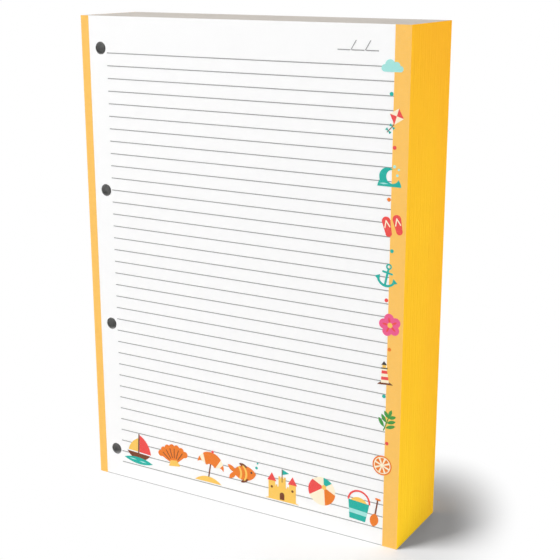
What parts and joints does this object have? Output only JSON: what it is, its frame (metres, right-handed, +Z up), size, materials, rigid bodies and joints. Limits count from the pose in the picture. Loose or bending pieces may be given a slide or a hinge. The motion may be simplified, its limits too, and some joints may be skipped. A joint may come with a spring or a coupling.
{
  "type": "binder refill paper",
  "caption": "Free-standing pack of loose ruled leaves with ring holes down one side, coloured margins and a small printed border.",
  "frame": {"origin": "middle of the pack's foot, where it stands on its lower cut edge", "axes": "+Z up the height of the sheets, +X towards the fore edge away from the ring holes, +Y through the thickness from the front page to the back"},
  "size_m": [0.2, 0.0502, 0.275],
  "materials": {
    "paper": "uncoated white offset paper",
    "edge_tint": "golden yellow on cut paper edges, matt",
    "margin_ink": "light orange offset ink on paper, matt",
    "line_ink": "grey offset ink on paper, matt",
    "orange_ink": "orange offset ink on paper, matt",
    "brown_ink": "brown offset ink on paper, matt",
    "teal_ink": "teal offset ink on paper, matt",
    "pale_teal_ink": "pale teal offset ink on paper, matt",
    "sand_ink": "sand yellow offset ink on paper, matt",
    "cream_ink": "cream offset ink on paper, matt",
    "coral_ink": "coral red offset ink on paper, matt",
    "pink_ink": "pink offset ink on paper, matt",
    "green_ink": "green offset ink on paper, matt",
    "charcoal_ink": "charcoal offset ink on paper, matt"
  },
  "bodies": {
    "root": {"sheet_stack": "paper", "fore_edge_tint": "edge_tint", "hole_edge_tint": "edge_tint", "front_margin_bands": "margin_ink", "back_margin_bands": "margin_ink", "front_ruling": "line_ink", "back_ruling": "line_ink", "date_blank": "line_ink", "orange_print": "orange_ink", "brown_print": "brown_ink", "teal_print": "teal_ink", "pale_teal_print": "pale_teal_ink", "sand_print": "sand_ink", "cream_print": "cream_ink", "coral_print": "coral_ink", "pink_print": "pink_ink", "green_print": "green_ink", "charcoal_print": "charcoal_ink"}
  },
  "joints": []
}
